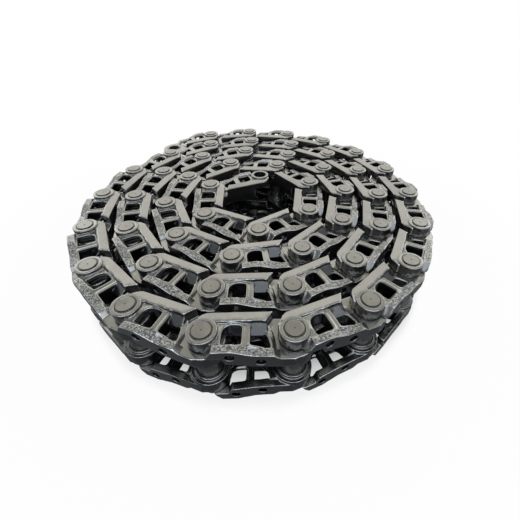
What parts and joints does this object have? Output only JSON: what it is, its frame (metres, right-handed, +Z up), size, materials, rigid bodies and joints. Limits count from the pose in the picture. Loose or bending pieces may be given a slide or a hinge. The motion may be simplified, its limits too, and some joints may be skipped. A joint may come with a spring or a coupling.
{
  "type": "excavator track chain",
  "caption": "Excavator track chain coiled on its side: paired offset links with windows and shoe bolt holes, hinged on pressed pins and bushes, with an open master-pin end.",
  "frame": {"origin": "centre of the coil's bounding box in plan, at the level of the lower pin ends", "axes": "+Z up along the pins; -Y out of the shoe face of the front section; +X along the front section from its pin to its bush"},
  "size_m": [1.1474, 1.2734, 0.217],
  "materials": {
    "link_steel": "semi-gloss dark grey paint over rough forged steel",
    "pin_steel": "semi-gloss dark grey paint over turned steel",
    "seal_rubber": "matt"
  },
  "bodies": {
    "section_00": {"inner_end_upper_link": "link_steel", "inner_end_lower_link": "link_steel", "inner_end_bush": "pin_steel"},
    "section_01": {"track_section_01": "link_steel"},
    "section_02": {"track_section_02": "link_steel"},
    "section_03": {"track_section_03": "link_steel"},
    "section_04": {"track_section_04": "link_steel"},
    "section_05": {"track_section_05": "link_steel"},
    "section_06": {"track_section_06": "link_steel"},
    "section_07": {"track_section_07": "link_steel"},
    "section_08": {"track_section_08": "link_steel"},
    "section_09": {"track_section_09": "link_steel"},
    "section_10": {"track_section_10": "link_steel"},
    "section_11": {"track_section_11": "link_steel"},
    "section_12": {"track_section_12": "link_steel"},
    "section_13": {"track_section_13": "link_steel"},
    "section_14": {"track_section_14": "link_steel"},
    "section_15": {"track_section_15": "link_steel"},
    "section_16": {"track_section_16": "link_steel"},
    "section_17": {"track_section_17": "link_steel"},
    "section_18": {"track_section_18": "link_steel"},
    "section_19": {"track_section_19": "link_steel"},
    "section_20": {"track_section_20": "link_steel"},
    "section_21": {"track_section_21": "link_steel"},
    "section_22": {"track_section_22": "link_steel"},
    "section_23": {"track_section_23": "link_steel"},
    "section_24": {"track_section_24": "link_steel"},
    "section_25": {"track_section_25": "link_steel"},
    "section_26": {"track_section_26": "link_steel"},
    "section_27": {"track_section_27": "link_steel"},
    "section_28": {"track_section_28": "link_steel"},
    "section_29": {"track_section_29": "link_steel"},
    "section_30": {"track_section_30": "link_steel"},
    "section_31": {"track_section_31": "link_steel"},
    "section_32": {"track_section_32": "link_steel"},
    "section_33": {"track_section_33": "link_steel"},
    "section_34": {"track_section_34": "link_steel"},
    "section_35": {"track_section_35": "link_steel"},
    "section_36": {"track_section_36": "link_steel"},
    "section_37": {"track_section_37": "link_steel"},
    "section_38": {"track_section_38": "link_steel"},
    "section_39": {"front_upper_link": "link_steel", "front_lower_link": "link_steel", "front_bush": "pin_steel", "front_pin_set": "pin_steel"},
    "section_40": {"track_section_40": "link_steel"},
    "section_41": {"track_section_41": "link_steel"},
    "section_42": {"track_section_42": "link_steel"},
    "section_43": {"track_section_43": "link_steel"},
    "section_44": {"track_section_44": "link_steel"},
    "section_45": {"track_section_45": "link_steel"},
    "section_46": {"track_section_46": "link_steel"},
    "section_47": {"track_section_47": "link_steel"},
    "section_48": {"track_section_48": "link_steel"},
    "section_49": {"track_section_49": "link_steel"},
    "section_50": {"outer_end_upper_link": "link_steel", "outer_end_lower_link": "link_steel", "outer_end_bush": "pin_steel", "outer_end_pin": "pin_steel", "outer_end_seals": "seal_rubber"}
  },
  "joints": [
    {"name": "pin_01_turn", "type": "hinge", "parent": "section_01", "child": "section_00", "pos_m": [-0.17411, 0.0339, 0.1085], "axis": [0, 0, 1], "range_deg": [0, 70.17]},
    {"name": "pin_02_turn", "type": "hinge", "parent": "section_02", "child": "section_01", "pos_m": [-0.165, -0.15588, 0.1085], "axis": [0, 0, 1], "range_deg": [0, 60.39]},
    {"name": "pin_03_turn", "type": "hinge", "parent": "section_03", "child": "section_02", "pos_m": [0.00449, -0.24175, 0.1085], "axis": [0, 0, 1], "range_deg": [0, 60.42]},
    {"name": "pin_04_turn", "type": "hinge", "parent": "section_04", "child": "section_03", "pos_m": [0.16284, -0.13674, 0.1085], "axis": [0, 0, 1], "range_deg": [0, 49.69]},
    {"name": "pin_05_turn", "type": "hinge", "parent": "section_05", "child": "section_04", "pos_m": [0.18522, 0.05193, 0.1085], "axis": [0, 0, 1], "range_deg": [0, 44.22]},
    {"name": "pin_06_turn", "type": "hinge", "parent": "section_06", "child": "section_05", "pos_m": [0.06967, 0.20276, 0.1085], "axis": [0, 0, 1], "range_deg": [0, 46.74]},
    {"name": "pin_07_turn", "type": "hinge", "parent": "section_07", "child": "section_06", "pos_m": [-0.11935, 0.22197, 0.1085], "axis": [0, 0, 1], "range_deg": [0, 45.54]},
    {"name": "pin_08_turn", "type": "hinge", "parent": "section_08", "child": "section_07", "pos_m": [-0.26547, 0.10053, 0.1085], "axis": [0, 0, 1], "range_deg": [0, 38.7]},
    {"name": "pin_09_turn", "type": "hinge", "parent": "section_09", "child": "section_08", "pos_m": [-0.30359, -0.08561, 0.1085], "axis": [0, 0, 1], "range_deg": [0, 35.06]},
    {"name": "pin_10_turn", "type": "hinge", "parent": "section_10", "child": "section_09", "pos_m": [-0.22789, -0.25988, 0.1085], "axis": [0, 0, 1], "range_deg": [0, 36.4]},
    {"name": "pin_11_turn", "type": "hinge", "parent": "section_11", "child": "section_10", "pos_m": [-0.06355, -0.35523, 0.1085], "axis": [0, 0, 1], "range_deg": [0, 38.51]},
    {"name": "pin_12_turn", "type": "hinge", "parent": "section_12", "child": "section_11", "pos_m": [0.12442, -0.32752, 0.1085], "axis": [0, 0, 1], "range_deg": [0, 36.26]},
    {"name": "pin_13_turn", "type": "hinge", "parent": "section_13", "child": "section_12", "pos_m": [0.2596, -0.194, 0.1085], "axis": [0, 0, 1], "range_deg": [0, 31.64]},
    {"name": "pin_14_turn", "type": "hinge", "parent": "section_14", "child": "section_13", "pos_m": [0.30464, -0.00942, 0.1085], "axis": [0, 0, 1], "range_deg": [0, 29.12]},
    {"name": "pin_15_turn", "type": "hinge", "parent": "section_15", "child": "section_14", "pos_m": [0.25418, 0.17376, 0.1085], "axis": [0, 0, 1], "range_deg": [0, 29.66]},
    {"name": "pin_16_turn", "type": "hinge", "parent": "section_16", "child": "section_15", "pos_m": [0.1197, 0.30798, 0.1085], "axis": [0, 0, 1], "range_deg": [0, 31.77]},
    {"name": "pin_17_turn", "type": "hinge", "parent": "section_17", "child": "section_16", "pos_m": [-0.0653, 0.35128, 0.1085], "axis": [0, 0, 1], "range_deg": [0, 32.37]},
    {"name": "pin_18_turn", "type": "hinge", "parent": "section_18", "child": "section_17", "pos_m": [-0.24474, 0.28881, 0.1085], "axis": [0, 0, 1], "range_deg": [0, 29.93]},
    {"name": "pin_19_turn", "type": "hinge", "parent": "section_19", "child": "section_18", "pos_m": [-0.36908, 0.14515, 0.1085], "axis": [0, 0, 1], "range_deg": [0, 26.69]},
    {"name": "pin_20_turn", "type": "hinge", "parent": "section_20", "child": "section_19", "pos_m": [-0.41566, -0.03905, 0.1085], "axis": [0, 0, 1], "range_deg": [0, 24.91]},
    {"name": "pin_21_turn", "type": "hinge", "parent": "section_21", "child": "section_20", "pos_m": [-0.38034, -0.22574, 0.1085], "axis": [0, 0, 1], "range_deg": [0, 25.09]},
    {"name": "pin_22_turn", "type": "hinge", "parent": "section_22", "child": "section_21", "pos_m": [-0.26918, -0.37983, 0.1085], "axis": [0, 0, 1], "range_deg": [0, 26.65]},
    {"name": "pin_23_turn", "type": "hinge", "parent": "section_23", "child": "section_22", "pos_m": [-0.10072, -0.4677, 0.1085], "axis": [0, 0, 1], "range_deg": [0, 28.06]},
    {"name": "pin_24_turn", "type": "hinge", "parent": "section_24", "child": "section_23", "pos_m": [0.08927, -0.46601, 0.1085], "axis": [0, 0, 1], "range_deg": [0, 27.58]},
    {"name": "pin_25_turn", "type": "hinge", "parent": "section_25", "child": "section_24", "pos_m": [0.2569, -0.37656, 0.1085], "axis": [0, 0, 1], "range_deg": [0, 25.34]},
    {"name": "pin_26_turn", "type": "hinge", "parent": "section_25", "child": "section_26", "pos_m": [0.37011, -0.22398, 0.1085], "axis": [0, 0, -1], "range_deg": [0, 23.01]},
    {"name": "pin_27_turn", "type": "hinge", "parent": "section_26", "child": "section_27", "pos_m": [0.41468, -0.03927, 0.1085], "axis": [0, 0, -1], "range_deg": [0, 21.75]},
    {"name": "pin_28_turn", "type": "hinge", "parent": "section_27", "child": "section_28", "pos_m": [0.38764, 0.14879, 0.1085], "axis": [0, 0, -1], "range_deg": [0, 21.8]},
    {"name": "pin_29_turn", "type": "hinge", "parent": "section_28", "child": "section_29", "pos_m": [0.29268, 0.31336, 0.1085], "axis": [0, 0, -1], "range_deg": [0, 22.91]},
    {"name": "pin_30_turn", "type": "hinge", "parent": "section_29", "child": "section_30", "pos_m": [0.14115, 0.42798, 0.1085], "axis": [0, 0, -1], "range_deg": [0, 24.31]},
    {"name": "pin_31_turn", "type": "hinge", "parent": "section_30", "child": "section_31", "pos_m": [-0.04413, 0.47008, 0.1085], "axis": [0, 0, -1], "range_deg": [0, 24.8]},
    {"name": "pin_32_turn", "type": "hinge", "parent": "section_31", "child": "section_32", "pos_m": [-0.22998, 0.43057, 0.1085], "axis": [0, 0, -1], "range_deg": [0, 23.78]},
    {"name": "pin_33_turn", "type": "hinge", "parent": "section_32", "child": "section_33", "pos_m": [-0.38412, 0.31949, 0.1085], "axis": [0, 0, -1], "range_deg": [0, 21.88]},
    {"name": "pin_34_turn", "type": "hinge", "parent": "section_33", "child": "section_34", "pos_m": [-0.48579, 0.15898, 0.1085], "axis": [0, 0, -1], "range_deg": [0, 20.18]},
    {"name": "pin_35_turn", "type": "hinge", "parent": "section_34", "child": "section_35", "pos_m": [-0.52584, -0.02676, 0.1085], "axis": [0, 0, -1], "range_deg": [0, 19.28]},
    {"name": "pin_36_turn", "type": "hinge", "parent": "section_35", "child": "section_36", "pos_m": [-0.50231, -0.21529, 0.1085], "axis": [0, 0, -1], "range_deg": [0, 19.31]},
    {"name": "pin_37_turn", "type": "hinge", "parent": "section_36", "child": "section_37", "pos_m": [-0.41776, -0.38544, 0.1085], "axis": [0, 0, -1], "range_deg": [0, 20.13]},
    {"name": "pin_38_turn", "type": "hinge", "parent": "section_37", "child": "section_38", "pos_m": [-0.27982, -0.5161, 0.1085], "axis": [0, 0, -1], "range_deg": [0, 21.31]},
    {"name": "pin_39_turn", "type": "hinge", "parent": "section_38", "child": "section_39", "pos_m": [-0.10382, -0.5877, 0.1085], "axis": [0, 0, -1], "range_deg": [0, 22.14]},
    {"name": "pin_40_turn", "type": "hinge", "parent": "section_39", "child": "section_40", "pos_m": [0.08618, -0.5877, 0.1085], "axis": [0, 0, -1], "range_deg": [0, 21.94]},
    {"name": "pin_41_turn", "type": "hinge", "parent": "section_40", "child": "section_41", "pos_m": [0.26243, -0.51672, 0.1085], "axis": [0, 0, -1], "range_deg": [0, 20.73]},
    {"name": "pin_42_turn", "type": "hinge", "parent": "section_41", "child": "section_42", "pos_m": [0.40214, -0.38797, 0.1085], "axis": [0, 0, -1], "range_deg": [0, 19.18]},
    {"name": "pin_43_turn", "type": "hinge", "parent": "section_42", "child": "section_43", "pos_m": [0.4918, -0.22045, 0.1085], "axis": [0, 0, -1], "range_deg": [0, 17.94]},
    {"name": "pin_44_turn", "type": "hinge", "parent": "section_43", "child": "section_44", "pos_m": [0.52551, -0.03347, 0.1085], "axis": [0, 0, -1], "range_deg": [0, 17.31]},
    {"name": "pin_45_turn", "type": "hinge", "parent": "section_44", "child": "section_45", "pos_m": [0.50207, 0.15508, 0.1085], "axis": [0, 0, -1], "range_deg": [0, 17.36]},
    {"name": "pin_46_turn", "type": "hinge", "parent": "section_45", "child": "section_46", "pos_m": [0.42346, 0.32806, 0.1085], "axis": [0, 0, -1], "range_deg": [0, 17.99]},
    {"name": "pin_47_turn", "type": "hinge", "parent": "section_46", "child": "section_47", "pos_m": [0.29526, 0.4683, 0.1085], "axis": [0, 0, -1], "range_deg": [0, 18.97]},
    {"name": "pin_48_turn", "type": "hinge", "parent": "section_47", "child": "section_48", "pos_m": [0.12846, 0.55927, 0.1085], "axis": [0, 0, -1], "range_deg": [0, 19.83]},
    {"name": "pin_49_turn", "type": "hinge", "parent": "section_48", "child": "section_49", "pos_m": [-0.05931, 0.58827, 0.1085], "axis": [0, 0, -1], "range_deg": [0, 20.06]},
    {"name": "pin_50_turn", "type": "hinge", "parent": "section_49", "child": "section_50", "pos_m": [-0.24565, 0.55112, 0.1085], "axis": [0, 0, -1], "range_deg": [0, 19.44]}
  ],
  "couplings": [
    {"joint": "pin_01_turn", "follows": "pin_26_turn", "ratio": 3.0495},
    {"joint": "pin_02_turn", "follows": "pin_26_turn", "ratio": 2.6243},
    {"joint": "pin_03_turn", "follows": "pin_26_turn", "ratio": 2.6258},
    {"joint": "pin_04_turn", "follows": "pin_26_turn", "ratio": 2.1593},
    {"joint": "pin_05_turn", "follows": "pin_26_turn", "ratio": 1.9218},
    {"joint": "pin_06_turn", "follows": "pin_26_turn", "ratio": 2.0314},
    {"joint": "pin_07_turn", "follows": "pin_26_turn", "ratio": 1.9789},
    {"joint": "pin_08_turn", "follows": "pin_26_turn", "ratio": 1.6817},
    {"joint": "pin_09_turn", "follows": "pin_26_turn", "ratio": 1.5234},
    {"joint": "pin_10_turn", "follows": "pin_26_turn", "ratio": 1.5818},
    {"joint": "pin_11_turn", "follows": "pin_26_turn", "ratio": 1.6735},
    {"joint": "pin_12_turn", "follows": "pin_26_turn", "ratio": 1.5759},
    {"joint": "pin_13_turn", "follows": "pin_26_turn", "ratio": 1.375},
    {"joint": "pin_14_turn", "follows": "pin_26_turn", "ratio": 1.2654},
    {"joint": "pin_15_turn", "follows": "pin_26_turn", "ratio": 1.2887},
    {"joint": "pin_16_turn", "follows": "pin_26_turn", "ratio": 1.3808},
    {"joint": "pin_17_turn", "follows": "pin_26_turn", "ratio": 1.4067},
    {"joint": "pin_18_turn", "follows": "pin_26_turn", "ratio": 1.3006},
    {"joint": "pin_19_turn", "follows": "pin_26_turn", "ratio": 1.1597},
    {"joint": "pin_20_turn", "follows": "pin_26_turn", "ratio": 1.0825},
    {"joint": "pin_21_turn", "follows": "pin_26_turn", "ratio": 1.0904},
    {"joint": "pin_22_turn", "follows": "pin_26_turn", "ratio": 1.1582},
    {"joint": "pin_23_turn", "follows": "pin_26_turn", "ratio": 1.2192},
    {"joint": "pin_24_turn", "follows": "pin_26_turn", "ratio": 1.1985},
    {"joint": "pin_25_turn", "follows": "pin_26_turn", "ratio": 1.1013},
    {"joint": "pin_27_turn", "follows": "pin_26_turn", "ratio": 0.9451},
    {"joint": "pin_28_turn", "follows": "pin_26_turn", "ratio": 0.94753},
    {"joint": "pin_29_turn", "follows": "pin_26_turn", "ratio": 0.99573},
    {"joint": "pin_30_turn", "follows": "pin_26_turn", "ratio": 1.0562},
    {"joint": "pin_31_turn", "follows": "pin_26_turn", "ratio": 1.0778},
    {"joint": "pin_32_turn", "follows": "pin_26_turn", "ratio": 1.0333},
    {"joint": "pin_33_turn", "follows": "pin_26_turn", "ratio": 0.95073},
    {"joint": "pin_34_turn", "follows": "pin_26_turn", "ratio": 0.87694},
    {"joint": "pin_35_turn", "follows": "pin_26_turn", "ratio": 0.83797},
    {"joint": "pin_36_turn", "follows": "pin_26_turn", "ratio": 0.8393},
    {"joint": "pin_37_turn", "follows": "pin_26_turn", "ratio": 0.87475},
    {"joint": "pin_38_turn", "follows": "pin_26_turn", "ratio": 0.9262},
    {"joint": "pin_39_turn", "follows": "pin_26_turn", "ratio": 0.96202},
    {"joint": "pin_40_turn", "follows": "pin_26_turn", "ratio": 0.95324},
    {"joint": "pin_41_turn", "follows": "pin_26_turn", "ratio": 0.90086},
    {"joint": "pin_42_turn", "follows": "pin_26_turn", "ratio": 0.83359},
    {"joint": "pin_43_turn", "follows": "pin_26_turn", "ratio": 0.77952},
    {"joint": "pin_44_turn", "follows": "pin_26_turn", "ratio": 0.75218},
    {"joint": "pin_45_turn", "follows": "pin_26_turn", "ratio": 0.7542},
    {"joint": "pin_46_turn", "follows": "pin_26_turn", "ratio": 0.78177},
    {"joint": "pin_47_turn", "follows": "pin_26_turn", "ratio": 0.82413},
    {"joint": "pin_48_turn", "follows": "pin_26_turn", "ratio": 0.86166},
    {"joint": "pin_49_turn", "follows": "pin_26_turn", "ratio": 0.87165},
    {"joint": "pin_50_turn", "follows": "pin_26_turn", "ratio": 0.84483}
  ]
}
